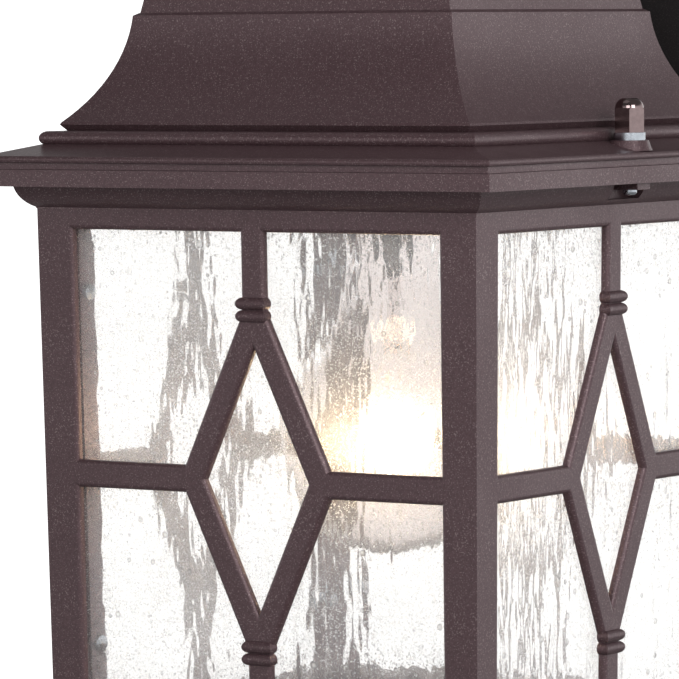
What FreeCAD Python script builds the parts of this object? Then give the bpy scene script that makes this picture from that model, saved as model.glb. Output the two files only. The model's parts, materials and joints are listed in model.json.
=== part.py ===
import FreeCAD, Part
import math
import os

import Sketcher
from FreeCAD import Placement, Rotation, Vector

# Outdoor wall lantern. Millimetres, +Z up, +Y into the wall.
# The origin is the middle of the back plate on the wall's surface.
# The lantern hangs from the arm; its own parts are drawn about the lantern's axis,
# with height 0 at the cage's top edge, and are then placed by "reach" and "hang".

doc = FreeCAD.newDocument("WallLantern")

DIMENSIONS = [
    ("reach", 128, "lantern axis to wall"),
    ("hang", 97, "back plate centre down to the cage's top edge"),
    ("cage_half", 77, "half the cage's width at its top edge"),
    ("cage_lean", 0.015, "how much each side leans in per mm of drop"),
    ("cage_tall", 157.3, "height of the side panels"),
    ("panel_thick", 2.4, "side panel"),
    ("window_half", 64.3, "half the window's width at the top edge"),
    ("window_lean", 0.0062, "how much the window narrows per mm of drop"),
    ("rail_tall", 6, "top and bottom rail"),
    ("bar_half", 4.05, "half the width of the lattice bars"),
    ("bar_drop", 78.6, "cage top down to the level bar's centre line"),
    ("diamond_half", 18.2, "half the diamond's clear width"),
    ("diamond_slope", 0.47, "sideways run of a diamond bar per mm of height"),
    ("bar_round", 1.3, "rounding of the lattice's front edges"),
    ("ring_half", 3.5, "half the width of the core of a collar ring"),
    ("ring_tall", 3.65, "height of one collar ring"),
    ("ring_gap", 46.4, "level bar's centre to the nearer collar ring"),
    ("ring_proud", 1.4, "collar ring in front of the lattice"),
    ("glass_thick", 2.5, "seeded glass pane"),
    ("pane_edge", 10.7, "pane's edge inside the cage's side"),
    ("pane_play", 0.08, "pane behind the panel"),
    ("post_size", 7, "square inner corner post"),
    ("crown_half", 82, "half the crown moulding's width"),
    ("crown_tall", 6.6, "crown moulding"),
    ("rim_half", 89, "half the roof rim's width"),
    ("rim_low", 6.83, "lower edge of the rim"),
    ("cove_top", 57.7, "top of the lower roof"),
    ("tier_top", 100, "top of the upper roof"),
    ("cap_top", 112, "top of the roof cap"),
    ("skin", 2.8, "thickness of the castings"),
    ("stud_out", 81.8, "lantern axis to the hold-down studs"),
    ("stud_radius", 2.08, "8-32 threaded stud"),
    ("nut_flats", 8.5, "cap nut across flats"),
    ("boss_top", 19.2, "top of the cast boss under each cap nut"),
    ("pipe_radius", 4.9, "1/8 IP lamp pipe"),
    ("pipe_bore", 3.2, "inside of the lamp pipe"),
    ("arm_radius", 8, "arm tube"),
    ("arm_bore", 5, "inside of the arm tube"),
    ("arm_bend_low", 24, "bend from level to upright"),
    ("arm_bend_top", 36, "bends over the top"),
    ("arm_rise", 88, "level start to the top of the arm's line"),
    ("wire_radius", 1.2, "insulated lead"),
    ("wire_side", 1.4, "lead's distance from the pipe's line"),
    ("plate_half", 57.5, "half the back plate's width"),
    ("plate_up", 89, "half the back plate's height"),
    ("plate_deep", 22, "back plate's face to the wall"),
    ("plate_skin", 2.5, "back plate's thickness"),
    ("gasket_thick", 1.5, "foam gasket"),
    ("plate_stud", 35, "plate studs from the centre"),
    ("slot_out", 44.45, "crossbar slots from the centre, for a 3 1/2 in box"),
    ("globe_radius", 34.5, "bulb's globe"),
    ("globe_drop", 71.5, "cage top down to the globe's centre"),
    ("bulb_neck", 13.2, "radius of the bulb's neck"),
]


def fill_sheet():
    """The driving dimensions, one row each: name, value, what it is."""
    sheet = doc.addObject("Spreadsheet::Sheet", "dims")
    for row, (name, value, note) in enumerate(DIMENSIONS, start=1):
        sheet.set(f"A{row}", name)
        sheet.set(f"B{row}", str(value))
        sheet.setAlias(f"B{row}", name)
        sheet.set(f"C{row}", note)
    doc.recompute()
    return sheet


dims = fill_sheet()
pieces = []


# ---------------------------------------------------------------- helpers

def size(expression):
    """The present value of an expression of the sheet's cells."""
    return float(dims.evalExpression(str(expression)))


def cells(expression):
    """The same expression as another object has to write it."""
    text = str(expression)
    for name, _, _ in sorted(DIMENSIONS, key=lambda row: -len(row[0])):
        text = text.replace(name, "<<" + name.upper() + ">>")
    for name, _, _ in DIMENSIONS:
        text = text.replace("<<" + name.upper() + ">>", "dims." + name)
    return text


def arc_between(start, end, radius):
    """Arc from start to end; a positive radius turns left, a negative one right."""
    chord = end - start
    middle = (start + end) / 2
    rise = math.sqrt(max(0.0, radius * radius - (chord.Length / 2) ** 2))
    left = Vector(-chord.y, chord.x, 0).normalize()
    centre = middle + left * math.copysign(rise, radius)
    first, last = (start, end) if radius > 0 else (end, start)
    angle = [math.atan2(p.y - centre.y, p.x - centre.x) for p in (first, last)]
    circle = Part.Circle(centre, Vector(0, 0, 1), abs(radius))
    return Part.ArcOfCircle(circle, angle[0], angle[1])


def draw(sketch, corners):
    """Closed outline. A corner is (x, y), or (x, y, radius) where an arc leads to the next corner."""
    count = len(corners)
    spots = [Vector(size(c[0]), size(c[1]), 0) for c in corners]
    first = sketch.GeometryCount
    begin, finish = [], []
    for i, corner in enumerate(corners):
        start, end = spots[i], spots[(i + 1) % count]
        if len(corner) == 3:
            radius = size(corner[2])
            sketch.addGeometry(arc_between(start, end, radius), False)
            begin.append(1 if radius > 0 else 2)
        else:
            sketch.addGeometry(Part.LineSegment(start, end), False)
            begin.append(1)
        finish.append(3 - begin[-1])
    for i in range(count):
        after = (i + 1) % count
        sketch.addConstraint(
            Sketcher.Constraint("Coincident", first + i, finish[i], first + after, begin[after])
        )
    for i, corner in enumerate(corners):
        for kind, place, text in (
            ("DistanceX", spots[i].x, corner[0]),
            ("DistanceY", spots[i].y, corner[1]),
        ):
            bind(sketch, Sketcher.Constraint(kind, -1, 1, first + i, begin[i], place), text)
        if len(corner) == 3:
            bind(
                sketch,
                Sketcher.Constraint("Radius", first + i, abs(size(corner[2]))),
                f"abs({corner[2]})",
            )


def bind(sketch, constraint, expression):
    index = sketch.addConstraint(constraint)
    sketch.setExpression(f"Constraints[{index}]", cells(expression))


def ring(sketch, radius, x=0, y=0):
    """Circle with its radius and centre bound to the sheet."""
    index = sketch.addGeometry(
        Part.Circle(Vector(size(x), size(y), 0), Vector(0, 0, 1), size(radius)), False
    )
    bind(sketch, Sketcher.Constraint("Radius", index, size(radius)), radius)
    bind(sketch, Sketcher.Constraint("DistanceX", -1, 1, index, 3, size(x)), x)
    bind(sketch, Sketcher.Constraint("DistanceY", -1, 1, index, 3, size(y)), y)


def hexagon(sketch, flats, x=0, y=0, hole=None):
    """Hexagon with a corner towards +x, sized across its flats."""
    corners = []
    for k in range(6):
        turn = math.radians(60 * k)
        reach = 1 / math.sqrt(3)
        corners.append(
            (
                f"{x} + ({flats}) * {reach * math.cos(turn):.6f}",
                f"{y} + ({flats}) * {reach * math.sin(turn):.6f}",
            )
        )
    draw(sketch, corners)
    if hole:
        ring(sketch, hole, x, y)


def body(name):
    return doc.addObject("PartDesign::Body", name)


def sketch_on(owner, role, lift=0):
    """Sketch on one of the body's own origin planes, moved along the plane's normal."""
    sketch = owner.newObject("Sketcher::SketchObject", owner.Name + "_outline")
    plane = next(f for f in owner.Origin.OriginFeatures if f.Role == role)
    sketch.AttachmentSupport = (plane, [""])
    sketch.MapMode = "FlatFace"
    sketch.setExpression(".AttachmentOffset.Base.z", cells(lift))
    return sketch


def pad(owner, sketch, length, both_ways=False):
    feature = owner.newObject("PartDesign::Pad", owner.Name + "_pad")
    feature.Profile = sketch
    feature.setExpression("Length", cells(length))
    feature.SideType = "Symmetric" if both_ways else "One side"
    return feature


def cut_through(owner, sketch, reversed_way, both_ways=False):
    """Pocket right through the body from the sketch, checked to cut something."""
    doc.recompute()
    before = owner.Tip.Shape.Volume
    feature = owner.newObject("PartDesign::Pocket", owner.Name + "_pocket")
    feature.Profile = sketch
    feature.Type = "ThroughAll"
    feature.SideType = "Symmetric" if both_ways else "One side"
    feature.Reversed = reversed_way
    doc.recompute()
    if not feature.Shape.Volume < before:
        raise RuntimeError(owner.Name + ": a pocket cuts nothing")
    return feature


def turn(owner, corners):
    """Solid of revolution about Z from (radius, height) corners."""
    sketch = sketch_on(owner, "XZ_Plane")
    draw(sketch, corners)
    feature = owner.newObject("PartDesign::Revolution", owner.Name + "_turned")
    feature.Profile = sketch
    feature.ReferenceAxis = (sketch, ["V_Axis"])
    feature.Angle = 360
    return feature


def lofted(owner, corners, low, high):
    """Solid between two level outlines; {half} in a corner is the cage's half-width there."""
    sections = []
    for height in (low, high):
        sketch = sketch_on(owner, "XY_Plane", height)
        half = f"(cage_half + cage_lean * ({height}))"
        draw(sketch, [tuple(str(c).format(half=half) for c in corner) for corner in corners])
        sections.append(sketch)
    feature = owner.newObject("PartDesign::AdditiveLoft", owner.Name + "_loft")
    feature.Profile = sections[0]
    feature.Sections = [sections[1]]
    feature.Ruled = True
    return feature


def place(piece, x=0, y=0, z=0, rotation=None):
    """Placement from the wall origin, bound to the sheet."""
    if rotation:
        piece.Placement = Placement(Vector(), rotation)
    for axis, value in zip("xyz", (x, y, z)):
        piece.setExpression(f"Placement.Base.{axis}", cells(value))
    return piece


def hang(piece, x=0, y=0, rotation=None):
    """Placement of a piece that is drawn about the lantern's axis."""
    return place(piece, x, f"{y} - reach", "-hang", rotation)


def keep(piece, label):
    """Marks a finished sub-part and gives it the name that its file will have."""
    piece.Label = label
    pieces.append(piece)
    return piece


def mirrored(right_side):
    """Full outline from its right half, which runs from the lowest point to the highest."""
    left_side = []
    for i in range(len(right_side) - 1, -1, -1):
        corner = (f"-({right_side[i][0]})", right_side[i][1])
        if i > 0 and len(right_side[i - 1]) == 3:
            corner += (right_side[i - 1][2],)
        left_side.append(corner)
    return right_side + left_side


def squared(name, right_side):
    """Four-sided solid with mitred corners: the same profile run along X and along Y."""
    runs = []
    for way, rotation in (
        ("x", Rotation(Vector(1, 0, 0), 90)),
        ("y", Rotation(Vector(0, 0, 1), 90) * Rotation(Vector(1, 0, 0), 90)),
    ):
        sketch = doc.addObject("Sketcher::SketchObject", f"{name}_{way}_profile")
        sketch.Placement = Placement(Vector(), rotation)
        draw(sketch, mirrored(right_side))
        run = doc.addObject("Part::Extrusion", f"{name}_{way}_run")
        run.Base = sketch
        run.DirMode = "Normal"
        run.Solid = True
        run.Symmetric = True
        run.setExpression("LengthFwd", cells("2 * rim_half + 20"))
        runs.append(run)
    common = doc.addObject("Part::MultiCommon", name)
    common.Shapes = runs
    return common


def box(name, low, high):
    """Part::Box between two corners, each an (x, y, z) of expressions."""
    block = doc.addObject("Part::Box", name)
    for side, axis, a, b in zip(("Length", "Width", "Height"), "xyz", low, high):
        block.setExpression(side, cells(f"({b}) - ({a})"))
        block.setExpression(f"Placement.Base.{axis}", cells(a))
    return block


def rod(name, radius, low, high, x=0, y=0):
    """Upright Part::Cylinder between two heights."""
    cylinder = doc.addObject("Part::Cylinder", name)
    cylinder.setExpression("Radius", cells(radius))
    cylinder.setExpression("Height", cells(f"({high}) - ({low})"))
    for axis, value in zip("xyz", (x, y, low)):
        cylinder.setExpression(f"Placement.Base.{axis}", cells(value))
    return cylinder


def fused(name, shapes):
    union = doc.addObject("Part::MultiFuse", name)
    union.Shapes = shapes
    return union


def less(name, base, tool):
    cut = doc.addObject("Part::Cut", name)
    cut.Base = base
    cut.Tool = tool
    return cut


def group(name, shapes):
    """Several equal pieces kept as separate solids in one sub-part."""
    compound = doc.addObject("Part::Compound", name)
    compound.Links = shapes
    return compound


# ---------------------------------------------------------------- side panels

QUARTERS = {"front": 0, "right": 90, "back": 180, "left": 270}


def quarter(side):
    return Rotation(Vector(0, 0, 1), QUARTERS[side])


def window_corner_outline(side, up):
    """Opening between the outer edge, the rail, the centre bar, the diamond and the level bar."""
    outer = "(diamond_half + 2 * bar_half / cos(atan(diamond_slope)))"
    rail = "-rail_tall" if up > 0 else "-(cage_tall - rail_tall)"
    level = f"(-bar_drop + {up} * bar_half)"
    peak = f"(-bar_drop + {up} * ({outer} - bar_half) / diamond_slope)"
    points = [
        (f"window_half + window_lean * ({rail})", rail),
        ("bar_half", rail),
        ("bar_half", peak),
        (f"{outer} - bar_half * diamond_slope", level),
        (f"window_half + window_lean * ({level})", level),
    ]
    return [(f"{side} * ({x})", z) for x, z in points]


def diamond_outline():
    tall = "(diamond_half / diamond_slope)"
    return [
        ("-diamond_half", "-bar_drop"),
        ("0", f"-bar_drop - {tall}"),
        ("diamond_half", "-bar_drop"),
        ("0", f"-bar_drop + {tall}"),
    ]


def front_edges(shape):
    """Names of the lattice's edges that lie in the leaning front face, inside the frame."""
    half, lean = size("cage_half"), size("cage_lean")
    names = []
    for number, edge in enumerate(shape.Edges, start=1):
        ends = [v.Point for v in edge.Vertexes]
        in_face = all(abs(p.y + half + lean * p.z) < 0.01 for p in ends)
        inside = all(abs(p.x) < size("window_half") + 1 for p in ends)
        if in_face and inside:
            names.append(f"Edge{number}")
    return names


def collar_rings(owner):
    """Four half-round rings on the centre bar, two above the diamond and two below."""
    shaves = []
    for up in (1, -1):
        for step in (0, 1):
            near = f"(ring_gap + {step} * ring_tall)"
            low = f"(-bar_drop + {near})" if up > 0 else f"(-bar_drop - {near} - ring_tall)"
            high = f"({low} + ring_tall)"
            face = f"(cage_half + cage_lean * {low})"
            sketch = sketch_on(owner, "XZ_Plane", f"{face} + ring_proud")
            draw(
                sketch,
                [
                    ("-ring_half", low),
                    ("ring_half", low, "ring_tall / 2 + 0.02"),
                    ("ring_half", high),
                    ("-ring_half", high, "ring_tall / 2 + 0.02"),
                ],
            )
            feature = owner.newObject("PartDesign::Pad", owner.Name + "_ring")
            feature.Profile = sketch
            feature.Reversed = True
            feature.setExpression("Length", cells("panel_thick + ring_proud"))
            shaves.append(
                [
                    (f"-{face} - ring_proud - 1", low),
                    (f"-{face}", low),
                    (f"-{face}", f"{low} + 0.05", "-(ring_tall / 2)"),
                    (f"-{face}", f"{high} - 0.05"),
                    (f"-{face}", high),
                    (f"-{face} - ring_proud - 1", high),
                ]
            )
    fronts = sketch_on(owner, "YZ_Plane")
    for outline in shaves:
        draw(fronts, outline)
    cut_through(owner, fronts, False, both_ways=True)


def side_panel(side):
    """Mitred cast panel: frame, lattice of bars with a centre diamond, and two collars."""
    owner = body(f"{side}_panel")
    back = "({half} - panel_thick)"
    lofted(
        owner,
        [("-{half}", "-{half}"), ("{half}", "-{half}"), (back, "-" + back), ("-" + back, "-" + back)],
        "-cage_tall",
        0,
    )
    windows = sketch_on(owner, "XZ_Plane")
    for across in (1, -1):
        for up in (1, -1):
            draw(windows, window_corner_outline(across, up))
    draw(windows, diamond_outline())
    opened = cut_through(owner, windows, True)
    rounding = owner.newObject("PartDesign::Fillet", owner.Name + "_bar_rounding")
    rounding.Base = (opened, front_edges(opened.Shape))
    rounding.setExpression("Radius", cells("bar_round"))
    collar_rings(owner)
    hang(owner, rotation=quarter(side))
    keep(owner, f"{side}_side_panel")


def glass_pane(side):
    """Flat pane of seeded glass that leans with its panel."""
    owner = body(f"{side}_pane")
    edge = "({half} - pane_edge)"
    outside = "-({half} - panel_thick - pane_play)"
    inside = "-({half} - panel_thick - glass_thick)"
    lofted(
        owner,
        [("-" + edge, outside), (edge, outside), (edge, inside), ("-" + edge, inside)],
        "-(cage_tall - rail_tall / 2)",
        "-rail_tall / 2",
    )
    hang(owner, rotation=quarter(side))
    keep(owner, f"{side}_glass_pane")


def corner_post(name, degrees, screw_sets):
    """Square bar behind each mitre, drilled for its screws; it traps the edges of two panes."""
    owner = body(f"{name}_post")
    near = "({half} - panel_thick - glass_thick)"
    far = "({half} - panel_thick - glass_thick - post_size)"
    lofted(
        owner,
        [(far, "-" + near), (near, "-" + near), (near, "-" + far), (far, "-" + far)],
        "-cage_tall",
        0,
    )
    hang(owner, rotation=Rotation(Vector(0, 0, 1), degrees))
    post = owner
    for screws in screw_sets:
        post = less(f"{name}_drilled_for_{screws.Label}", post, screws)
    keep(post, f"{name}_corner_post")


CORNERS = {"front_right": 0, "back_right": 90, "back_left": 180, "front_left": 270}


SCREW_HEIGHTS = (-25, -130)
SCREW_STAGGER = 4


def panel_screw(name):
    """Pan-head screw about Z with its tip at height 0."""
    screw = body(name)
    turn(
        screw,
        [
            ("0", "0"),
            ("1.3", "0"),
            ("1.3", "8.7"),
            ("2.4", "8.7"),
            ("2.4", "9.9"),
            ("0", "10.3"),
        ],
    )
    return screw


def panel_screws():
    """Small screws from inside each post into its two panels, staggered so that they miss."""
    screws = []
    for corner, degrees in CORNERS.items():
        for height in SCREW_HEIGHTS:
            tip = size(f"cage_half + cage_lean * {height} - panel_thick - 0.9")
            along = size(f"cage_half + cage_lean * {height} - panel_thick - glass_thick - post_size / 2")
            for sideways in (False, True):
                start = Vector(tip, -along, SCREW_STAGGER) if sideways else Vector(along, -tip, 0)
                inwards = Rotation(Vector(1, 0, 0), -90)
                if sideways:
                    inwards = Rotation(Vector(0, 0, 1), 90) * inwards
                spin = Rotation(Vector(0, 0, 1), degrees)
                spot = spin.multVec(start) + Vector(0, -size("reach"), height - size("hang"))
                screw = panel_screw(f"panel_screw_{corner}_{-height}_{int(sideways)}")
                screw.Placement = Placement(spot, spin * inwards)
                screws.append(screw)
    return keep(group("panel_screw_set", screws), "panel_screws")


CROWN_SCREW_SEAT = "2.55"
BASE_SCREW_SEAT = "-cage_tall - 3"


def post_screws(label, height, downwards):
    """Four screws through a moulding's corner lugs into the ends of the posts."""
    screws = []
    for degrees in CORNERS.values():
        screw = body(f"{label}_{degrees}")
        turn(
            screw,
            [("0", "-7"), ("1.6", "-7"), ("1.6", "0"), ("3", "0"), ("3", "1.1"), ("0", "1.6")],
        )
        out = size(f"cage_half + cage_lean * ({height}) - panel_thick - glass_thick - post_size / 2")
        spot = Rotation(Vector(0, 0, 1), degrees).multVec(Vector(out, -out, 0))
        flip = Rotation() if downwards else Rotation(Vector(1, 0, 0), 180)
        screw.Placement = Placement(
            Vector(spot.x, spot.y - size("reach"), size(height) - size("hang")), flip
        )
        screws.append(screw)
    return keep(group(label + "_set", screws), label)


# ---------------------------------------------------------------- crown and base

def crown_moulding(screws):
    """Ovolo moulding round the cage's top, notched at each side round a lug for its stud."""
    outline = [
        ("crown_half - 4.8", "0"),
        ("crown_half - 4.8", "0.4", "9"),
        ("crown_half", "crown_tall"),
    ]
    solid = squared("crown_block", outline)
    inner = "(cage_half - panel_thick - glass_thick + 0.2)"
    flange = "(cage_half - panel_thick - glass_thick - post_size)"
    tools = [
        box("crown_well", (f"-{inner}", f"-{inner}", "2.5"), (inner, inner, "crown_tall + 1")),
        box("crown_mouth", (f"-{flange}", f"-{flange}", "-1"), (flange, flange, "crown_tall + 1")),
    ]
    lugs = []
    for side in (1, -1):
        ends = sorted(("76", "crown_half + 2"), key=lambda e: side * size(e))
        low, high = (f"{side} * ({e})" for e in ends)
        tools.append(box(f"crown_notch_{side + 1}", (low, "-9", "2"), (high, "9", "crown_tall + 1")))
        ends = sorted(("75", "86.5"), key=lambda e: side * size(e))
        low, high = (f"{side} * ({e})" for e in ends)
        lugs.append(box(f"crown_lug_{side + 1}", (low, "-3.6", "4.8"), (high, "3.6", "crown_tall")))
    hollow = less("crown_ring", solid, fused("crown_tools", tools))
    whole = fused("crown_lugged", [hollow] + lugs)
    holes = [
        rod(f"crown_hole_{side + 1}", "stud_radius", 0, 10, f"{side} * stud_out") for side in (1, -1)
    ]
    crown = less("crown_drilled", whole, fused("crown_holes", holes))
    hang(crown)
    keep(less("crown_screwed", crown, screws), "crown_moulding")


def base_pan(screws):
    """Stepped pan that closes the cage from below, counterbored for its four screws."""
    top = "-cage_tall - 0.05"
    outline = [
        ("32", f"{top} - 24"),
        ("32", f"{top} - 21"),
        ("36", f"{top} - 19.5", "-60"),
        ("73", f"{top} - 7"),
        ("74.5", f"{top} - 4.6"),
        ("79.5", f"{top} - 4"),
        ("79.5", f"{top} - 0.8"),
        ("78.7", f"{top}"),
    ]
    hollow = [
        ("30", f"{top} - 20.5"),
        ("35", f"{top} - 16.2", "-60"),
        ("62", f"{top} - 6.5"),
        ("62", f"{top} + 1"),
    ]
    shell = less("base_shell", squared("base_block", outline), squared("base_hollow", hollow))
    holes = [rod("base_hole", "2.5", f"{top} - 30", f"{top} - 10")]
    seat = f"({BASE_SCREW_SEAT})"
    out = f"(cage_half + cage_lean * {seat} - panel_thick - glass_thick - post_size / 2)"
    for across in (1, -1):
        for along in (1, -1):
            name = f"base_counterbore_{across + 1}_{along + 1}"
            holes.append(rod(name, "3.2", f"{top} - 30", seat, f"{across} * {out}", f"{along} * {out}"))
    pan = less("base_drilled", shell, fused("base_holes", holes))
    hang(pan)
    keep(less("base_screwed", pan, screws), "base_pan")


def finial():
    """Turned drop under the base, with its threaded end and the nut inside the pan."""
    low = "-cage_tall - 24.05"
    drop = body("finial_drop")
    turn(
        drop,
        [
            ("0", f"{low} - 21"),
            ("2.5", f"{low} - 20"),
            ("2.5", f"{low} - 18", "8.2"),
            ("4.5", f"{low} - 3.5"),
            ("8.5", f"{low} - 2.5"),
            ("8.5", f"{low}"),
            ("2.4", f"{low}"),
            ("2.4", f"{low} + 9"),
            ("0", f"{low} + 9"),
        ],
    )
    hang(drop)
    keep(drop, "drop_finial")
    nut = body("finial_nut_body")
    sketch = sketch_on(nut, "XY_Plane", f"{low} + 3.6")
    hexagon(sketch, "8.7", hole="2.4")
    pad(nut, sketch, 3.2)
    hang(nut)
    keep(nut, "finial_nut")


# ---------------------------------------------------------------- roof

def roof_rim():
    """Lower roof: fascia, groove, nose, slope, bead, undercut and cove, with two stud bosses."""
    outline = [
        ("rim_half", "rim_low"),
        ("rim_half", "11.8"),
        ("rim_half - 1.2", "12"),
        ("rim_half - 1.2", "13.8"),
        ("rim_half - 0.2", "13.9", "1.1"),
        ("rim_half - 0.9", "15.9"),
        ("75.6", "19.1", "2.1"),
        ("74.1", "22.9"),
        ("70.4", "23"),
        ("72", "24.8"),
        ("71.6", "25.5", "-49.7"),
        ("56.2", "cove_top - 0.8"),
        ("54.8", "cove_top"),
    ]
    hollow = [
        ("rim_half - skin", "rim_low - 1"),
        ("rim_half - skin", "13"),
        ("73.2", "16"),
        ("68.4", "20.6"),
        ("67.9", "24.5", "-52.5"),
        ("53.4", "cove_top - skin"),
    ]
    shell = less("rim_shell", squared("rim_block", outline), squared("rim_hollow", hollow))
    bosses = []
    holes = [rod("rim_pipe_hole", "pipe_radius + 0.2", "cove_top - 10", "cove_top + 5")]
    for side in (1, -1):
        spot = f"{side} * stud_out"
        seat = doc.addObject("Part::Cone", f"rim_seat_{side + 1}")
        seat.Radius1 = 6.7
        seat.Radius2 = 5.6
        low = "16.2"
        seat.setExpression("Height", cells(f"boss_top - {low}"))
        for axis, value in zip("xyz", (spot, 0, low)):
            seat.setExpression(f"Placement.Base.{axis}", cells(value))
        post = rod(f"rim_post_{side + 1}", "4.2", "rim_low", "17.5", spot)
        bosses += [seat, post]
        holes.append(rod(f"rim_hole_{side + 1}", "stud_radius + 0.4", 0, 30, spot))
    whole = fused("rim_bossed", [shell] + bosses)
    rim = less("rim_drilled", whole, fused("rim_holes", holes))
    hang(rim)
    keep(rim, "lower_roof")


def roof_tier():
    """Upper roof: steep sides, a bead and a second cove up to the cap."""
    outline = [
        ("54.6", "cove_top"),
        ("50.9", "76"),
        ("51.7", "77", "3.2"),
        ("47.6", "80.6"),
        ("47", "82", "-44"),
        ("24", "tier_top - 0.5"),
        ("23", "tier_top"),
    ]
    hollow = [
        ("51.9", "cove_top - 1"),
        ("48.2", "76"),
        ("44.4", "80.2", "-47"),
        ("21", "tier_top - skin"),
    ]
    shell = less("tier_shell", squared("tier_block", outline), squared("tier_hollow", hollow))
    hole = rod("tier_hole", "pipe_radius + 0.2", "tier_top - 10", "tier_top + 5")
    tier = less("tier_drilled", shell, hole)
    hang(tier)
    keep(tier, "upper_roof")


def roof_cap():
    """Square cap that the arm's end flange bears on."""
    outline = [
        ("25", "tier_top"),
        ("25", "tier_top + 1.2"),
        ("25.6", "tier_top + 1.4", "1.6"),
        ("24.6", "tier_top + 4.2"),
        ("21", "tier_top + 5", "-9"),
        ("15", "cap_top"),
    ]
    hole = rod("cap_hole", "pipe_radius + 0.2", "tier_top - 1", "cap_top + 1")
    cap = less("cap_drilled", squared("cap_block", outline), hole)
    hang(cap)
    keep(cap, "roof_cap")


# ---------------------------------------------------------------- hold-down hardware

def cap_nut(name):
    """Tall hexagon cap nut about Z with its seat at height 0: hexagon, dome and blind thread."""
    owner = body(name)
    sketch = sketch_on(owner, "XY_Plane")
    hexagon(sketch, "nut_flats", hole="stud_radius + 0.06")
    pad(owner, sketch, 7.2)
    dome = sketch_on(owner, "XZ_Plane")
    draw(
        dome,
        [
            ("0", "7.2"),
            ("nut_flats / 2", "7.2", "3.1"),
            ("2.2", "10"),
            ("0", "10"),
        ],
    )
    crown = owner.newObject("PartDesign::Revolution", name + "_dome")
    crown.Profile = dome
    crown.ReferenceAxis = (dome, ["V_Axis"])
    crown.Angle = 360
    corners = sketch_on(owner, "XZ_Plane")
    draw(
        corners,
        [
            ("nut_flats / 2 + 0.15", "8"),
            ("nut_flats / 2 + 0.75", "6.4"),
            ("nut_flats / 2 + 2", "6.4"),
            ("nut_flats / 2 + 2", "8"),
        ],
    )
    groove = owner.newObject("PartDesign::Groove", name + "_corner_bevel")
    groove.Profile = corners
    groove.ReferenceAxis = (corners, ["V_Axis"])
    groove.Angle = 360
    return owner


def lock_washer(name, inner, outer, thick):
    """Flat ring about Z with its lower face at height 0."""
    owner = body(name)
    sketch = sketch_on(owner, "XY_Plane")
    ring(sketch, outer)
    ring(sketch, inner)
    pad(owner, sketch, thick)
    return owner


def hold_down(side, word):
    """Washer and cap nut over one stud on the roof's rim."""
    washer = lock_washer(f"washer_{word}", "stud_radius + 0.2", "4.7", 2.2)
    place(washer, f"{side} * stud_out", "-reach", "boss_top + 0.05 - hang")
    keep(washer, f"roof_lock_washer_{word}")
    nut = cap_nut(f"roof_nut_{word}")
    place(nut, f"{side} * stud_out", "-reach", "boss_top + 2.3 - hang")
    keep(nut, f"roof_cap_nut_{word}")


def cage_studs():
    """Two threaded studs that stand up from the crown moulding's lugs."""
    studs = []
    for side in (1, -1):
        stud = body(f"cage_stud_{side + 1}")
        turn(
            stud,
            [
                ("0", "3.2"),
                ("1.2", "3.2", "0.95"),
                ("stud_radius", "4.1"),
                ("stud_radius", "26.6"),
                ("1.5", "27.2"),
                ("0", "27.2"),
            ],
        )
        hang(stud, f"{side} * stud_out")
        studs.append(stud)
    keep(group("cage_stud_set", studs), "cage_studs")


# ---------------------------------------------------------------- lamp holder

def lamp_socket():
    """Porcelain socket, its screw shell and contact, the metal cap and the lamp pipe."""
    socket = body("socket")
    turn(
        socket,
        [
            ("14.3", "-2"),
            ("18", "-2"),
            ("19", "-1"),
            ("19", "34", "5"),
            ("15.5", "42"),
            ("0", "42"),
            ("0", "26.3"),
            ("14.3", "26.3"),
        ],
    )
    hang(socket)
    keep(socket, "lamp_socket")
    shell = body("screw_shell")
    turn(
        shell,
        [
            ("13.8", "0"),
            ("14.3", "0"),
            ("14.3", "26.3"),
            ("6", "26.3"),
            ("6", "25.8"),
            ("13.8", "25.8"),
        ],
    )
    hang(shell)
    keep(shell, "socket_screw_shell")
    contact = body("contact")
    turn(contact, [("0", "24.7"), ("2.6", "25.2"), ("4.2", "25.9"), ("4.2", "26.3"), ("0", "26.3")])
    hang(contact)
    keep(contact, "socket_centre_contact")
    cap = body("socket_cap_body")
    turn(
        cap,
        [
            ("13", "42"),
            ("15.5", "42"),
            ("15.5", "46", "4"),
            ("11.5", "50"),
            ("8", "51.8"),
            ("pipe_radius + 0.1", "51.8"),
            ("pipe_radius + 0.1", "48.5"),
            ("13", "48.5"),
        ],
    )
    hang(cap)
    keep(cap, "socket_cap")


def tube(name, radius, bore, low, high):
    owner = body(name)
    turn(owner, [(bore, low), (radius, low), (radius, high), (bore, high)])
    return owner


def lamp_pipe():
    """Threaded pipe that hangs the socket and clamps the roof to the arm, with its two nuts."""
    pipe = tube("pipe", "pipe_radius", "pipe_bore", "48.6", "cap_top + 9")
    hang(pipe)
    keep(pipe, "lamp_pipe")
    nuts = []
    for name, low in (("under", "cove_top - skin - 3"), ("over", "cove_top")):
        nut = body("pipe_nut_" + name)
        sketch = sketch_on(nut, "XY_Plane", low)
        hexagon(sketch, "14.3", hole="pipe_radius")
        pad(nut, sketch, "2.4" if name == "over" else "3")
        hang(nut)
        nuts.append(nut)
    keep(group("pipe_nut_set", nuts), "pipe_locknuts")


# ---------------------------------------------------------------- bulb

def bulb_outline(shrink):
    """Globe, concave shoulder and straight neck, each moved in by shrink: radius and height pairs."""
    rise = math.radians(40)
    globe = f"(globe_radius - {shrink})"
    neck = f"(bulb_neck - {shrink})"
    join_out = f"({globe} * {math.cos(rise):.6f})"
    join_up = f"(-globe_drop + {globe} * {math.sin(rise):.6f})"
    shoulder = f"(({join_out} - {neck}) / {1 - math.cos(rise):.6f})"
    return [
        ("0", f"-globe_drop - {globe}", globe),
        (join_out, join_up, f"-{shoulder}"),
        (neck, f"{join_up} + {shoulder} * {math.sin(rise):.6f}"),
        (neck, "-3"),
    ]


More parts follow.
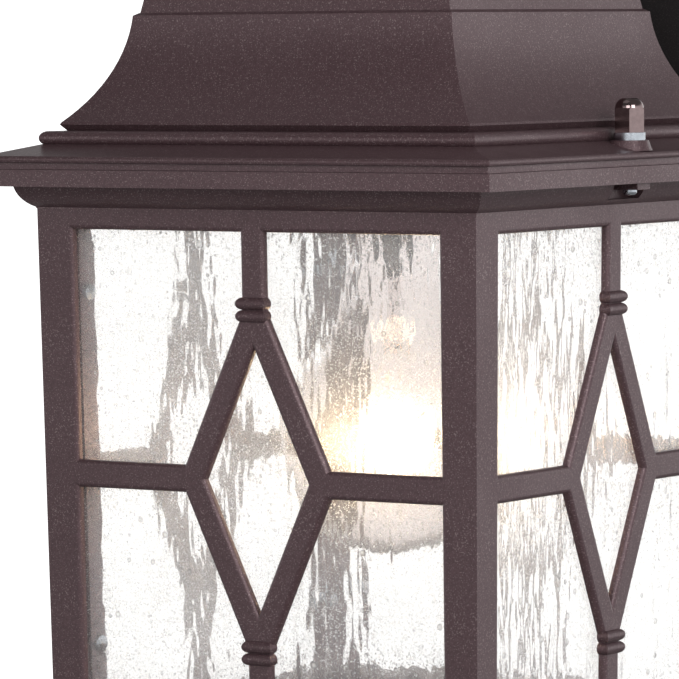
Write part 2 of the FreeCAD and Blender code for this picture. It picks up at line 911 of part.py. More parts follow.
def bulb_glass():
    """Clear envelope, a closed skin 0.8 mm thick that is open at the neck."""
    owner = body("envelope")
    outside = bulb_outline("0")
    inside = bulb_outline("0.8")
    back = []
    for i in range(len(inside) - 1, -1, -1):
        corner = inside[i][:2]
        if i > 0 and len(inside[i - 1]) == 3:
            corner += (f"-({inside[i - 1][2]})",)
        back.append(corner)
    turn(owner, outside + back)
    hang(owner)
    keep(owner, "bulb_glass")


def bulb_base():
    """Screw shell with rounded thread crests, black insulator and tip contact."""
    root, inside, neck = 12.4, 11.9, 13.25
    first_crest, pitch, crest_chord, crest_arc = 0.6, 3.63, 2.1, 1.75
    outline = [(neck, -5.5), (13.7, -5.5), (13.7, -2.9), (root, -2.2)]
    for k in range(5):
        low = first_crest + k * pitch
        outline.append((root, low, crest_arc))
        outline.append((root, low + crest_chord))
    outline += [(root, 19.5), (8, 21.4), (8, 20.9), (inside, 19), (inside, -2.9), (neck, -2.9)]
    outline = [tuple(str(c) for c in corner) for corner in outline]
    shell = body("base_screw")
    turn(shell, outline)
    hang(shell)
    keep(shell, "bulb_base_shell")
    insulator = body("insulator")
    turn(insulator, [("0", "19.8"), ("7.9", "20.9"), ("7.9", "21.4"), ("4.6", "23"), ("0", "23")])
    hang(insulator)
    keep(insulator, "bulb_insulator")
    tip = body("tip_contact")
    turn(tip, [("0", "23.05"), ("4.4", "23.05"), ("4.4", "23.4", "3"), ("2", "24.5"), ("0", "24.5")])
    hang(tip)
    keep(tip, "bulb_tip_contact")


def bulb_inside():
    """Glass stem with its two lead wires, and the coiled filament held across them."""
    stem = body("stem")
    turn(
        stem,
        [
            ("0", "-46"),
            ("1.6", "-46"),
            ("2.6", "-43"),
            ("2.6", "-22"),
            ("7", "-6"),
            ("11.8", "-3.4"),
            ("11.8", "-2.6"),
            ("0", "-2.6"),
        ],
    )
    hang(stem)
    half_span = 13
    leads = []
    for side in (-1, 1):
        foot = Vector(side * 1.9, 0, -43.5)
        bend = Vector(side * 3.2, 0, -50)
        end = Vector(side * half_span, 0, -68)
        path = route([foot, bend, end], [6])
        leads.append(swept(path, 0.35))
    supports = doc.addObject("Part::Feature", "filament_leads")
    supports.Shape = Part.makeCompound(leads)
    hang(supports)
    keep(supports, "filament_leads")
    keep(less("stem_round_leads", stem, supports), "bulb_stem")
    coil = doc.addObject("Part::Feature", "filament_coil")
    coil.Shape = filament(half_span)
    hang(coil)
    keep(coil, "bulb_filament")


def filament(half_span):
    """Zigzag of straight coiled lengths joined by small bends, across the two leads."""
    points = []
    steps = 4
    for k in range(steps + 1):
        along = -half_span + 2 * half_span * k / steps
        points.append(Vector(along, 0, -68.5 - (5 if k % 2 else 0)))
    return swept(route(points, [1.2] * (steps - 1)), 0.5)


# ---------------------------------------------------------------- wires and swept shapes

def route(points, radii):
    """Wire of straight runs joined by tangent arcs, one radius for each inner point."""
    edges = []
    last = points[0]
    for before, corner, after, radius in zip(points, points[1:], points[2:], radii):
        into = (corner - before).normalize()
        out = (after - corner).normalize()
        bend = into.getAngle(out)
        trim = radius * math.tan(bend / 2)
        start = corner - into * trim
        end = corner + out * trim
        towards = (out - into).normalize()
        middle = corner + towards * (radius / math.cos(bend / 2) - radius)
        if (start - last).Length > 0.001:
            edges.append(Part.LineSegment(last, start).toShape())
        edges.append(Part.Arc(start, middle, end).toShape())
        last = end
    edges.append(Part.LineSegment(last, points[-1]).toShape())
    return Part.Wire(edges)


def swept(path, radius):
    """Round bar along a wire, checked against its section times its length."""
    start = path.Edges[0]
    direction = start.tangentAt(start.FirstParameter)
    section = Part.Wire(Part.makeCircle(radius, start.valueAt(start.FirstParameter), direction))
    solid = path.makePipeShell([section], True, False)
    expected = math.pi * radius * radius * path.Length
    if abs(solid.Volume - expected) > 0.02 * expected:
        raise RuntimeError("a swept bar has the wrong volume")
    return solid


def arm_points(side, start_back, end_low):
    """The arm's line from the back plate, up, over and down to the lantern, moved sideways."""
    upright = -size("reach") + 2 * size("arm_bend_top")
    top = size("arm_rise")
    return [
        Vector(side, start_back, 0),
        Vector(side, upright, 0),
        Vector(side, upright, top),
        Vector(side, -size("reach"), top),
        Vector(side, -size("reach"), end_low),
    ]


def arm_bends():
    return [size("arm_bend_low"), size("arm_bend_top"), size("arm_bend_top")]


def arm():
    """Hollow gooseneck arm with a round flange at each end."""
    owner = body("arm_tube")
    line = sketch_on(owner, "YZ_Plane")
    low_end = size("cap_top - hang")
    path = route(arm_points(0, -size("plate_deep"), low_end), arm_bends())
    for edge in path.Edges:
        flat = [Vector(v.Point.y, v.Point.z, 0) for v in edge.Vertexes]
        if isinstance(edge.Curve, Part.Circle):
            middle = edge.valueAt((edge.FirstParameter + edge.LastParameter) / 2)
            line.addGeometry(Part.Arc(flat[0], Vector(middle.y, middle.z, 0), flat[1]), False)
        else:
            line.addGeometry(Part.LineSegment(flat[0], flat[1]), False)
    section = sketch_on(owner, "XZ_Plane", "plate_deep")
    ring(section, "arm_radius")
    ring(section, "arm_bore")
    pipe = owner.newObject("PartDesign::AdditivePipe", "arm_sweep")
    pipe.Profile = section
    pipe.Spine = (line, [f"Edge{k + 1}" for k in range(len(path.Edges))])
    rosette = sketch_on(owner, "XZ_Plane", "plate_deep")
    ring(rosette, "17")
    ring(rosette, "arm_bore")
    pad(owner, rosette, 4)
    foot = sketch_on(owner, "XY_Plane", "cap_top - hang")
    ring(foot, "12.5", 0, "-reach")
    ring(foot, "arm_bore", 0, "-reach")
    pad(owner, foot, 5)
    keep(owner, "arm")


def arm_fixing():
    """Threaded pipe through the back plate into the arm, and its nut inside the plate."""
    pipe = tube("plate_pipe", "pipe_radius", "pipe_bore", "-31", "-14.5")
    place(pipe, rotation=Rotation(Vector(1, 0, 0), -90))
    keep(pipe, "plate_nipple")
    nut = body("plate_nipple_nut_body")
    sketch = sketch_on(nut, "XZ_Plane", "plate_deep - plate_skin - 3")
    hexagon(sketch, "14.3", hole="pipe_radius")
    pad(nut, sketch, 3)
    keep(nut, "plate_nipple_nut")


def wires():
    """Three leads inside the plate, two of them on through the arm to the socket."""
    gauge = size("wire_radius")
    offset = size("wire_side")
    back = -9
    for label, side in (("black_wire", 1), ("white_wire", -1)):
        top_down = arm_points(side * offset, back, size("42.1 - hang"))
        drop = [Vector(side * 9, back, -38), Vector(side * 9, back, -24)]
        path = route(drop + top_down, [14, 7.5] + arm_bends())
        lead = doc.addObject("Part::Feature", label + "_lead")
        lead.Shape = swept(path, gauge)
        keep(lead, label)
    ground = doc.addObject("Part::Feature", "ground_lead")
    bends = [Vector(-20, -2.9, -16), Vector(-20, back, -27)]
    loop = [Vector(-20, -2.9, -3.85)] + bends + [Vector(-20, back, -38)]
    ground.Shape = swept(route(loop, [14, 14]), gauge)
    keep(ground, "ground_wire")
    connectors = []
    for number, x in enumerate((9, -9, -20)):
        cap = body(f"connector_{number}")
        turn(cap, [("0", "-56"), ("2.6", "-56"), ("3.4", "-54"), ("5.2", "-38"), ("0", "-38")])
        place(cap, x, back)
        connectors.append(cap)
    keep(group("connector_set", connectors), "wire_connectors")


# ---------------------------------------------------------------- wall side

def back_plate():
    """Cast cover: a stepped rectangular dish, open towards the wall."""
    owner = body("plate")
    steps = [("0", "gasket_thick", "8"), ("6.5", "8", "17"), ("9.5", "17", "plate_deep")]
    for inset, start, end in steps:
        sketch = sketch_on(owner, "XZ_Plane", start)
        rectangle(sketch, f"plate_half - ({inset})", f"plate_up - ({inset})")
        pad(owner, sketch, f"({end}) - ({start})")
    for inset, start, end in (
        ("plate_skin", "gasket_thick", "7"),
        ("9.5 + plate_skin", "gasket_thick", "plate_deep - plate_skin"),
    ):
        sketch = sketch_on(owner, "XZ_Plane", start)
        rectangle(sketch, f"plate_half - ({inset})", f"plate_up - ({inset})")
        doc.recompute()
        hollow = owner.newObject("PartDesign::Pocket", "plate_hollow")
        hollow.Profile = sketch
        hollow.Reversed = True
        hollow.setExpression("Length", cells(f"({end}) - ({start})"))
    holes = sketch_on(owner, "XZ_Plane")
    ring(holes, "pipe_radius + 0.1")
    for side in (1, -1):
        ring(holes, "stud_radius + 0.2", f"{side} * plate_stud")
    opened = cut_through(owner, holes, True)
    edges = []
    for number, edge in enumerate(opened.Shape.Edges, start=1):
        middle = edge.CenterOfMass
        for inset, _, end in steps:
            beside = abs(abs(middle.x) - size(f"plate_half - {inset}")) < 0.01
            above = abs(abs(middle.z) - size(f"plate_up - {inset}")) < 0.01
            if (beside or above) and abs(middle.y + size(end)) < 0.01:
                edges.append(f"Edge{number}")
    rounding = owner.newObject("PartDesign::Fillet", "plate_rounding")
    rounding.Base = (opened, edges)
    rounding.Radius = 2.2
    keep(owner, "back_plate")


def rectangle(sketch, half_x, half_y):
    draw(
        sketch,
        [
            (f"-({half_x})", f"-({half_y})"),
            (half_x, f"-({half_y})"),
            (half_x, half_y),
            (f"-({half_x})", half_y),
        ],
    )


def wall_gasket():
    """Foam ring between the plate's edge and the wall."""
    owner = body("gasket")
    sketch = sketch_on(owner, "XZ_Plane")
    rectangle(sketch, "plate_half", "plate_up")
    rectangle(sketch, "plate_half - plate_skin", "plate_up - plate_skin")
    pad(owner, sketch, "gasket_thick")
    keep(owner, "wall_gasket")


def crossbar():
    """Steel strap with two slots for the junction box, two threaded holes and a ground hole."""
    owner = body("strap")
    sketch = sketch_on(owner, "XZ_Plane")
    rectangle(sketch, "53", "10")
    for side in (1, -1):
        ring(sketch, "stud_radius", f"{side} * plate_stud")
        reach = 4.8
        corners = [
            (f"{side} * slot_out - {reach}", "-2.2"),
            (f"{side} * slot_out + {reach}", "-2.2", "2.2001"),
            (f"{side} * slot_out + {reach}", "2.2"),
            (f"{side} * slot_out - {reach}", "2.2", "2.2001"),
        ]
        draw(sketch, corners)
    ring(sketch, "2.1", "-20")
    ring(sketch, "7")
    pad(owner, sketch, 1.6)
    keep(owner, "mounting_crossbar")


def plate_hardware():
    """Studs in the crossbar with their locknuts, and a washer and cap nut over each."""
    studs, locknuts = [], []
    for side, word in ((1, "right"), (-1, "left")):
        spot = f"{side} * plate_stud"
        stud = body(f"plate_stud_{word}")
        sketch = sketch_on(stud, "XZ_Plane")
        ring(sketch, "stud_radius", spot)
        pad(stud, sketch, "plate_deep + 8")
        studs.append(stud)
        nut = body(f"plate_locknut_{word}")
        sketch = sketch_on(nut, "XZ_Plane", "1.6")
        hexagon(sketch, "8.7", spot, "0", hole="stud_radius")
        pad(nut, sketch, 3.2)
        locknuts.append(nut)
        washer = lock_washer(f"plate_washer_{word}_ring", "stud_radius + 0.2", "4.7", 1)
        outwards = Rotation(Vector(1, 0, 0), 90)
        place(washer, spot, "-plate_deep - 0.05", 0, outwards)
        keep(washer, f"plate_washer_{word}")
        cap = cap_nut(f"plate_nut_{word}")
        place(cap, spot, "-plate_deep - 1.1", 0, outwards)
        keep(cap, f"plate_cap_nut_{word}")
    keep(group("plate_stud_set", studs), "plate_studs")
    keep(group("plate_locknut_set", locknuts), "plate_locknuts")


def ground_screw():
    """Screw in the crossbar for the earth lead."""
    owner = body("earth_screw")
    turn(
        owner,
        [
            ("0", "-1.6"),
            ("2.1", "-1.6"),
            ("2.1", "0"),
            ("3.8", "0"),
            ("3.8", "1.4"),
            ("2.6", "2.2"),
            ("0", "2.2"),
        ],
    )
    place(owner, "-20", "-1.6", 0, Rotation(Vector(1, 0, 0), 90))
    keep(owner, "ground_screw")


# ---------------------------------------------------------------- the whole lantern

def build():
    for side in QUARTERS:
        side_panel(side)
        glass_pane(side)
    side_screws = panel_screws()
    top_screws = post_screws("crown_screws", CROWN_SCREW_SEAT, True)
    low_screws = post_screws("base_screws", BASE_SCREW_SEAT, False)
    for name, degrees in CORNERS.items():
        corner_post(name, degrees, [side_screws, top_screws, low_screws])
    crown_moulding(top_screws)
    cage_studs()
    base_pan(low_screws)
    finial()
    roof_rim()
    roof_tier()
    roof_cap()
    hold_down(1, "right")
    hold_down(-1, "left")
    lamp_socket()
    lamp_pipe()
    bulb_glass()
    bulb_base()
    bulb_inside()
    arm()
    arm_fixing()
    wires()
    back_plate()
    wall_gasket()
    crossbar()
    plate_hardware()
    ground_screw()


def check_and_write():
    """Refuses failed or empty objects, then writes one STEP file for each sub-part."""
    doc.recompute()
    for item in doc.Objects:
        if "Invalid" in item.State or "Error" in item.State:
            raise RuntimeError(f"{item.Name} failed: {item.State}")
    os.makedirs("parts", exist_ok=True)
    for piece in pieces:
        shape = piece.Shape
        if shape.isNull() or not shape.isValid():
            raise RuntimeError(piece.Label + " has no valid shape")
        shape.exportStep(f"parts/{piece.Label}.step")
    print(len(pieces), "sub-parts written")


build()
check_and_write()
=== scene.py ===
import json
import math

import bpy
from mathutils import Matrix, Vector

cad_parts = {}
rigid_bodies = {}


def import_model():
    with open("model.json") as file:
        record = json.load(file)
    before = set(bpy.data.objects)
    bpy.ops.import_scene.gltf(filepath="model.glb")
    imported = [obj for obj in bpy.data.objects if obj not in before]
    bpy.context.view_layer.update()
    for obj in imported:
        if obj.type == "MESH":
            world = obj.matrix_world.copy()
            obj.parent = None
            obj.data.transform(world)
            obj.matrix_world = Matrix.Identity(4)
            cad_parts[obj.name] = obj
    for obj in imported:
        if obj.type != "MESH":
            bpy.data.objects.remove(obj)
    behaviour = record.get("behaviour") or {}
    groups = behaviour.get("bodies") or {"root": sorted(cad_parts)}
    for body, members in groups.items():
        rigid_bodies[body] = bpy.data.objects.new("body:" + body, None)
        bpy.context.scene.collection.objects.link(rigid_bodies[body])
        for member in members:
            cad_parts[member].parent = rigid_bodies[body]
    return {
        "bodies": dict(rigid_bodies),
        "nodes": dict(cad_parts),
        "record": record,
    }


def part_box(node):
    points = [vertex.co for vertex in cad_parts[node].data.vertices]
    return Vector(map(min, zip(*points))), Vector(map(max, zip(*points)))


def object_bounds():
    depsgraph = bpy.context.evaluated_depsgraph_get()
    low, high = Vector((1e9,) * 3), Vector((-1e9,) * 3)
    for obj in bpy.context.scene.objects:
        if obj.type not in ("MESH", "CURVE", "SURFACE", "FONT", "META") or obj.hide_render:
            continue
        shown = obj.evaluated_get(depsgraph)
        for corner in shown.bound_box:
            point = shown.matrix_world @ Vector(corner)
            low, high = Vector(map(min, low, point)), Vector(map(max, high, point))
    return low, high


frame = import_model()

# Outdoor wall lantern: materials for the CAD nodes, lit bulb, studio light, floor and camera.
# Metres throughout, in the CAD frame. The scale of a noise is in features per metre.

MM = 0.001
CAD_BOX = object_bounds()
RECORD_SLOTS = {entry["node"]: entry["material_slot"] for entry in frame["record"]["subparts"]}

# Colour sockets of the Mix node, whose socket names repeat for every type of data.
MIX_FIRST = 6
MIX_SECOND = 7
MIX_RESULT = 2


def middle(node):
    low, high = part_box(node)
    return (low + high) / 2


AXIS = middle("lamp_pipe")
CAGE_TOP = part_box("front_side_panel")[1].z
FILAMENT = middle("bulb_filament")


# ---------------------------------------------------------------- node helpers

class Shader:
    """A node material being built: add makes a node, feed sets a socket or links one to it."""

    def __init__(self, name):
        self.material = bpy.data.materials.new(name)
        self.material.use_nodes = True
        self.tree = self.material.node_tree
        self.tree.nodes.clear()
        self.output = self.add("ShaderNodeOutputMaterial")
        self.place = self.add("ShaderNodeTexCoord").outputs["Object"]

    def add(self, kind, inputs=None, **settings):
        node = self.tree.nodes.new(kind)
        for key, value in settings.items():
            setattr(node, key, value)
        for key, value in (inputs or {}).items():
            self.feed(node.inputs[key], value)
        return node

    def feed(self, socket, value):
        if isinstance(value, bpy.types.NodeSocket):
            self.tree.links.new(value, socket)
        else:
            socket.default_value = value

    def stretched(self, x, y, z):
        """Object coordinates scaled by a different amount along each axis."""
        node = self.add("ShaderNodeMapping", {"Vector": self.place, "Scale": (x, y, z)})
        return node.outputs["Vector"]

    def noise(self, scale, detail=2.0, rough=0.5, at=None):
        node = self.add(
            "ShaderNodeTexNoise",
            {"Vector": at or self.place, "Scale": scale, "Detail": detail, "Roughness": rough},
        )
        return node.outputs["Fac"]

    def ramp(self, value, low, high, start=0.0, end=1.0):
        """Maps value from low..high to start..end, held at the ends."""
        node = self.add(
            "ShaderNodeMapRange",
            {"Value": value, "From Min": low, "From Max": high, "To Min": start, "To Max": end},
            interpolation_type="SMOOTHSTEP",
        )
        return node.outputs["Result"]

    def blend(self, amount, first, second):
        """Colour that goes from first to second as the amount goes from 0 to 1."""
        node = self.add("ShaderNodeMix", data_type="RGBA")
        self.feed(node.inputs["Factor"], amount)
        self.feed(node.inputs[MIX_FIRST], first)
        self.feed(node.inputs[MIX_SECOND], second)
        return node.outputs[MIX_RESULT]

    def maths(self, operation, first, second):
        node = self.add("ShaderNodeMath", {0: first, 1: second}, operation=operation)
        return node.outputs["Value"]

    def bump(self, height, distance, strength=1.0, normal=None):
        node = self.add(
            "ShaderNodeBump", {"Height": height, "Distance": distance, "Strength": strength}
        )
        if normal:
            self.feed(node.inputs["Normal"], normal)
        return node.outputs["Normal"]

    def principled(self, **inputs):
        names = {key.replace("_", " "): value for key, value in inputs.items()}
        return self.add("ShaderNodeBsdfPrincipled", names)

    def mix(self, amount, first, second):
        """Shader that goes from first to second as the amount goes from 0 to 1."""
        node = self.add("ShaderNodeMixShader", {"Fac": amount})
        self.tree.links.new(first.outputs[0], node.inputs[1])
        self.tree.links.new(second.outputs[0], node.inputs[2])
        return node

    def finish(self, shader):
        self.tree.links.new(shader.outputs[0], self.output.inputs["Surface"])
        return self.material


def grey(level):
    return (level, level, level, 1.0)


def shade(colour, share):
    """The colour, darker."""
    return tuple(part * share for part in colour[:3]) + (1.0,)


# ---------------------------------------------------------------- paint, metal and plastic

FLECK_SHARE = 0.6
CLOUD = 0.06


def powder_coat(name, colour, fleck, rough):
    """Dark metallic powder coat: fine flecks, a slight orange peel and soft patches of gloss."""
    s = Shader(name)
    patches = s.ramp(s.noise(28, 3), 0.35, 0.65, -0.04, 0.05)
    grain = s.noise(1500, 1)
    sparkle = s.ramp(s.noise(2600, 0), 0.62, 0.76)
    base = s.blend(s.ramp(grain, 0.3, 0.7), shade(colour, 0.78), colour)
    base = s.blend(s.maths("MULTIPLY", sparkle, FLECK_SHARE), base, fleck)
    peel = s.bump(s.noise(420, 2), 0.1 * MM, 0.35)
    return s.finish(
        s.principled(
            Base_Color=base,
            Metallic=0.35,
            Roughness=s.maths("ADD", patches, rough),
            Normal=s.bump(grain, 0.04 * MM, 0.3, peel),
        )
    )


def metal(name, colour, rough):
    """Bare or plated metal: cloudy gloss with a fine grain."""
    s = Shader(name)
    cloud = s.ramp(s.noise(160, 3), 0.3, 0.7, -CLOUD, CLOUD)
    tone = s.blend(s.ramp(s.noise(600, 2), 0.3, 0.7), shade(colour, 0.86), colour)
    return s.finish(
        s.principled(
            Base_Color=tone,
            Metallic=1.0,
            Roughness=s.maths("ADD", cloud, rough),
            Normal=s.bump(s.noise(900, 2), 0.04 * MM, 0.3),
        )
    )


def moulded(name, colour, rough, grain=700, depth=0.05 * MM):
    """Plastic, rubber, foam or glaze: faint mottling and a fine surface grain."""
    s = Shader(name)
    mottle = s.ramp(s.noise(120, 3), 0.3, 0.7)
    tone = s.blend(mottle, shade(colour, 0.9), colour)
    gloss = s.ramp(s.noise(300, 2), 0.3, 0.7, rough - 0.04, rough + 0.04)
    skin = s.bump(s.noise(grain, 2), depth, 0.4)
    return s.finish(s.principled(Base_Color=tone, Roughness=gloss, Normal=skin))


# ---------------------------------------------------------------- glass and filament

GLASS_IOR = 1.45
FILAMENT_GLOW = 260.0

# The pane's upright waves: features per metre along x, y and z, and their depth.
WAVES = (75, 75, 22)
WAVE_DEPTH = 1.4 * MM

# Share of the light that a pane throws back as a milky veil, share that it blurs,
# and share that it blurs besides in the middle of a seed.
VEIL = 0.08
HAZE = 0.06
SEED_HAZE = 0.75

# Seeds of three sizes. Each row: cells per metre, share of the cells that hold a seed,
# usual radius in cells, and strength of its painted shade at the rim and of its height.
SEED_SIZES = (
    (1700, 0.6, 0.42, 0.12),
    (850, 0.4, 0.32, 0.5),
    (230, 0.14, 0.24, 0.75),
)
# Painted shade: grey mixed into the pane's colour at each seed's rim, standing in for light that
# a real bubble bends away.
SEED_RIM_PAINTED_SHADE = (0.2, 0.2, 0.2, 1)
SEED_HEIGHT = 0.1 * MM


def seeded_glass():
    """Clear pane: gentle upright waves, many small seeds ringed with painted shade, slight milky
    veil.
    """
    s = Shader("seeded glass")
    waves = s.bump(s.noise(1, 3, 0.45, s.stretched(*WAVES)), WAVE_DEPTH)
    dark, height, core = seeds(s)
    skin = s.bump(height, SEED_HEIGHT, 1.0, waves)
    clear = s.principled(
        # Painted shade at the seeds' rims, mixed into the pane's colour.
        Base_Color=s.blend(dark, grey(0.99), SEED_RIM_PAINTED_SHADE),
        Roughness=0.0,
        IOR=GLASS_IOR,
        Transmission_Weight=1.0 - VEIL,
        Normal=skin,
    )
    hazy = s.principled(
        Base_Color=grey(0.99),
        Roughness=0.55,
        IOR=GLASS_IOR,
        Transmission_Weight=1.0,
        Normal=skin,
    )
    haze = s.maths("ADD", s.maths("MULTIPLY", core, SEED_HAZE), HAZE)
    return s.finish(lets_light_through(s, s.mix(haze, clear, hazy), 0.94))


def seeds(s):
    """Painted shade at the rims, height and milky cores of seeds of three sizes, scattered at
    random.
    """
    dark, height, core = 0.0, 0.0, 0.0
    for scale, share, radius, strength in SEED_SIZES:
        cells = s.add(
            "ShaderNodeTexVoronoi", {"Vector": s.place, "Scale": scale, "Randomness": 1.0}
        )
        chance = s.add("ShaderNodeSeparateColor", {"Color": cells.outputs["Color"]})
        chosen = s.maths("LESS_THAN", chance.outputs["Red"], share)
        size = s.maths("MULTIPLY", chance.outputs["Green"], radius)
        size = s.maths("ADD", size, radius * 0.4)
        ball = s.ramp(s.maths("DIVIDE", cells.outputs["Distance"], size), 0.0, 1.0, 1.0, 0.0)
        spot = s.maths("MULTIPLY", ball, chosen)
        # Painted shade: a ring across each seed, darkest half way out from its middle.
        half_way = s.maths("MULTIPLY", spot, s.maths("SUBTRACT", 1.0, spot))
        rim = s.maths("MULTIPLY", half_way, 4.0)
        dark = s.maths("MAXIMUM", dark, s.maths("MULTIPLY", rim, strength))
        height = s.maths("ADD", height, s.maths("MULTIPLY", spot, strength))
        core = s.maths("MAXIMUM", core, spot)
    return dark, height, core


def lets_light_through(s, glass, share):
    """Glass that is plainly see-through to shadow rays, so the lamps reach what is inside."""
    clear = s.add("ShaderNodeBsdfTransparent", {"Color": grey(share)})
    path = s.add("ShaderNodeLightPath")
    return s.mix(path.outputs["Is Shadow Ray"], glass, clear)


def clear_bulb():
    """Thin blown glass: a faint, uneven grey tint and slight ripples."""
    s = Shader("clear bulb glass")
    glass = s.principled(
        Base_Color=s.blend(s.noise(60, 2), (0.9, 0.86, 0.85, 1), (0.87, 0.83, 0.82, 1)),
        Roughness=0.0,
        IOR=GLASS_IOR,
        Transmission_Weight=1.0,
        Normal=s.bump(s.noise(90, 1), 0.3 * MM, 0.4),
    )
    return s.finish(lets_light_through(s, glass, 0.97))


def glowing_filament():
    """Lit tungsten, a little cooler between the turns of the fine coil."""
    s = Shader("lit tungsten")
    turns = s.ramp(s.noise(3000, 0), 0.3, 0.7, 0.8, 1.0)
    colour = s.blend(turns, (1.0, 0.55, 0.2, 1), (1.0, 0.82, 0.5, 1))
    return s.finish(s.add("ShaderNodeEmission", {"Color": colour, "Strength": FILAMENT_GLOW}))


# ---------------------------------------------------------------- finishes of the CAD nodes

BRONZE = (0.094, 0.053, 0.06, 1)
BRONZE_FLECK = (0.26, 0.2, 0.2, 1)
# Painted shade: the wall plate wears the same bronze powder coat, darkened here to stand in for
# the lantern's shadow that falls on it.
PAINTED_SHADE_BRONZE = (0.022, 0.018, 0.019, 1)
PAINTED_SHADE_FLECK = (0.06, 0.05, 0.05, 1)

FINISHES = {
    "bronze_casting": powder_coat("bronze powder coat", BRONZE, BRONZE_FLECK, 0.36),
    # The wall plate's bronze paint, darkened as painted shade.
    "plate_casting": powder_coat("bronze powder coat darkened as painted shade", PAINTED_SHADE_BRONZE, PAINTED_SHADE_FLECK, 0.55),
    "bronze_nut": metal("dark bronze plating", (0.24, 0.18, 0.18, 1), 0.13),
    "seeded_glass": seeded_glass(),
    "zinc_steel": metal("zinc plated steel", (0.43, 0.46, 0.5, 1), 0.24),
    "porcelain": moulded("white porcelain", (0.86, 0.85, 0.81, 1), 0.12, 60, 0.2 * MM),
    "socket_cap_metal": metal("socket cap", (0.58, 0.55, 0.5, 1), 0.3),
    "brass": metal("brass", (0.82, 0.6, 0.26, 1), 0.22),
    "bulb_clear_glass": clear_bulb(),
    "bulb_aluminium": metal("rolled aluminium", (0.8, 0.79, 0.77, 1), 0.25),
    "solder": metal("solder", (0.55, 0.55, 0.57, 1), 0.4),
    "black_glass": moulded("vitrite", (0.012, 0.012, 0.014, 1), 0.1, 60, 0.1 * MM),
    "nickel_wire": metal("nickel wire", (0.62, 0.6, 0.56, 1), 0.3),
    "tungsten": glowing_filament(),
    "black_insulation": moulded("black vinyl", (0.018, 0.018, 0.02, 1), 0.4),
    "white_insulation": moulded("white vinyl", (0.78, 0.78, 0.75, 1), 0.4),
    "green_insulation": moulded("green vinyl", (0.03, 0.25, 0.07, 1), 0.4),
    "orange_plastic": moulded("orange plastic", (0.75, 0.2, 0.02, 1), 0.38),
    "green_screw": metal("green dyed zinc", (0.06, 0.35, 0.12, 1), 0.35),
    "foam": moulded("closed-cell foam", (0.025, 0.025, 0.027, 1), 0.85, 1400, 0.3 * MM),
}


def finish_nodes():
    """Every CAD node gets the finish of its material slot in the record."""
    for name, node in frame["nodes"].items():
        node.data.materials.clear()
        node.data.materials.append(FINISHES[RECORD_SLOTS[name]])


# ---------------------------------------------------------------- light

LAMP_POWER = 0.06
LAMP_COLOUR = (1.0, 0.74, 0.46)
LAMP_RADIUS = 12 * MM

# Name, place from a point in the cage, width and power of each softbox.
SOFTBOXES = (
    ("right softbox", (0.75, -0.35, 0.35), 0.4, 3.1),
    ("top softbox", (-0.2, -0.5, 1.7), 1.0, 1),
    ("front softbox", (0.25, -0.5, 0.25), 0.25, 0.9),
)
AIM_BELOW_CAGE_TOP = 50 * MM

# White of the surroundings, and the shares of it left straight overhead and in front.
WHITE = 1.35
DIM_OVERHEAD = 0.15
DIM_IN_FRONT = 0.7


def bulb_light():
    """The filament's light on the cage around it; it rides on the bulb."""
    data = bpy.data.lights.new("filament light", "POINT")
    data.energy = LAMP_POWER
    data.color = LAMP_COLOUR
    data.shadow_soft_size = LAMP_RADIUS
    lamp = bpy.data.objects.new("filament light", data)
    bpy.context.scene.collection.objects.link(lamp)
    lamp.location = FILAMENT
    lamp.parent = frame["bodies"]["bulb"]


def softbox(name, spot, width, power):
    """Square area light that faces the lantern."""
    data = bpy.data.lights.new(name, "AREA")
    data.shape = "SQUARE"
    data.size = width
    data.energy = power
    lamp = bpy.data.objects.new(name, data)
    bpy.context.scene.collection.objects.link(lamp)
    target = Vector((AXIS.x, AXIS.y, CAGE_TOP - AIM_BELOW_CAGE_TOP))
    lamp.location = target + Vector(spot)
    lamp.rotation_euler = (target - lamp.location).to_track_quat("-Z", "Y").to_euler()


def surroundings():
    """White all round at eye level, dimmer in front, and dark overhead."""
    world = bpy.data.worlds.new("white studio")
    world.use_nodes = True
    tree = world.node_tree
    way = tree.nodes.new("ShaderNodeTexCoord").outputs["Generated"]
    split = tree.nodes.new("ShaderNodeSeparateXYZ")
    tree.links.new(way, split.inputs[0])
    overhead = world_ramp(tree, split.outputs["Z"], 0.15, 0.5, 1.0, DIM_OVERHEAD)
    in_front = world_ramp(tree, split.outputs["Y"], -0.75, 0.1, DIM_IN_FRONT, 1.0)
    both = tree.nodes.new("ShaderNodeMath")
    both.operation = "MULTIPLY"
    tree.links.new(overhead, both.inputs[0])
    tree.links.new(in_front, both.inputs[1])
    background = tree.nodes["Background"]
    tree.links.new(both.outputs[0], background.inputs["Strength"])
    background.inputs["Color"].default_value = grey(WHITE)
    bpy.context.scene.world = world


def world_ramp(tree, value, low, high, start, end):
    """Maps value from low..high to start..end, held at the ends."""
    node = tree.nodes.new("ShaderNodeMapRange")
    node.interpolation_type = "SMOOTHSTEP"
    tree.links.new(value, node.inputs["Value"])
    for key, number in zip(("From Min", "From Max", "To Min", "To Max"), (low, high, start, end)):
        node.inputs[key].default_value = number
    return node.outputs["Result"]


def studio():
    """White surroundings and softboxes at the right, above and in front."""
    surroundings()
    bpy.context.scene.view_settings.view_transform = "Standard"
    for name, spot, width, power in SOFTBOXES:
        softbox(name, spot, width, power)


# ---------------------------------------------------------------- floor and camera

FLOOR_HALF = 9.0
FLOOR_DROP = 1.8

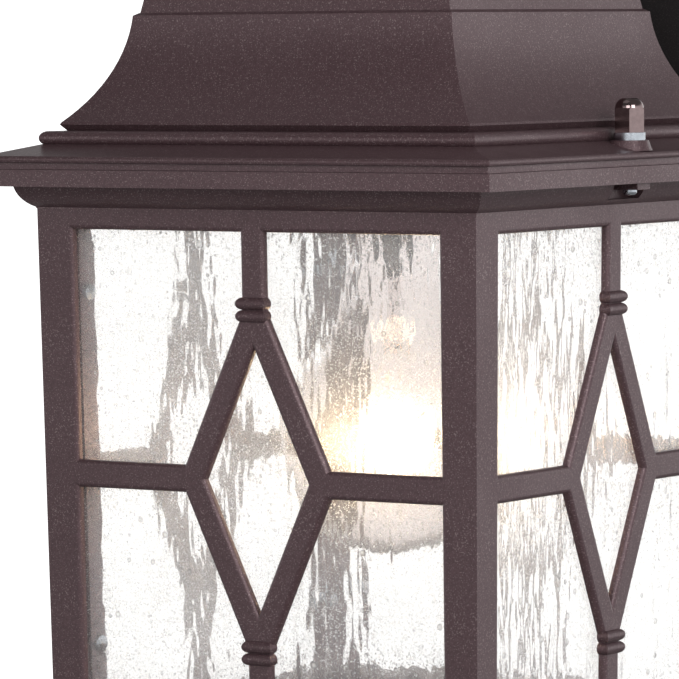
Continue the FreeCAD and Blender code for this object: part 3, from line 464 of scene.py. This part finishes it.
# Where the camera stands: turned from straight in front of the lantern's axis, at a level
# distance from it, and above the cage's top. Then where it looks.
STAND_TURN = math.radians(33.049)
STAND_OFF = 1530.3 * MM
STAND_RISE = 52.05 * MM
LOOK_TURN = math.radians(33.695)
LOOK_TILT = math.radians(-3.486)
LOOK_ROLL = math.radians(-0.512)
LENS = 269.2
SENSOR = 36
NEAR, FAR = 0.01, 50


def studio_floor():
    """Pale matt floor, hardly mottled."""
    s = Shader("pale floor")
    tone = s.blend(s.noise(3, 4), (0.93, 0.93, 0.93, 1), (0.95, 0.95, 0.945, 1))
    skin = s.bump(s.noise(200, 3), 0.3 * MM, 0.2)
    return s.finish(s.principled(Base_Color=tone, Roughness=0.9, Normal=skin))


def floor():
    """Plain pale floor, as far below the lantern as where it hangs on its wall."""
    half, level = FLOOR_HALF, CAD_BOX[0].z - FLOOR_DROP
    corners = [
        (-half, -half, level), (half, -half, level), (half, half, level), (-half, half, level)
    ]
    mesh = bpy.data.meshes.new("studio_floor")
    mesh.from_pydata(corners, [], [(0, 1, 2, 3)])
    mesh.materials.append(studio_floor())
    plane = bpy.data.objects.new("studio_floor", mesh)
    bpy.context.scene.collection.objects.link(plane)


def camera():
    """Long lens, in front of and to the right of the lantern, a little above the cage's top."""
    data = bpy.data.cameras.new("camera")
    data.sensor_width = SENSOR
    data.lens = LENS
    data.clip_start = NEAR
    data.clip_end = FAR
    shooter = bpy.data.objects.new("camera", data)
    bpy.context.scene.collection.objects.link(shooter)
    stand = Vector((AXIS.x, AXIS.y, CAGE_TOP)) + Vector(
        (math.sin(STAND_TURN) * STAND_OFF, -math.cos(STAND_TURN) * STAND_OFF, STAND_RISE)
    )
    shooter.matrix_world = (
        Matrix.Translation(stand)
        @ Matrix.Rotation(LOOK_TURN, 4, "Z")
        @ Matrix.Rotation(math.radians(90) + LOOK_TILT, 4, "X")
        @ Matrix.Rotation(LOOK_ROLL, 4, "Z")
    )
    bpy.context.scene.camera = shooter


finish_nodes()
bulb_light()
studio()
floor()
camera()
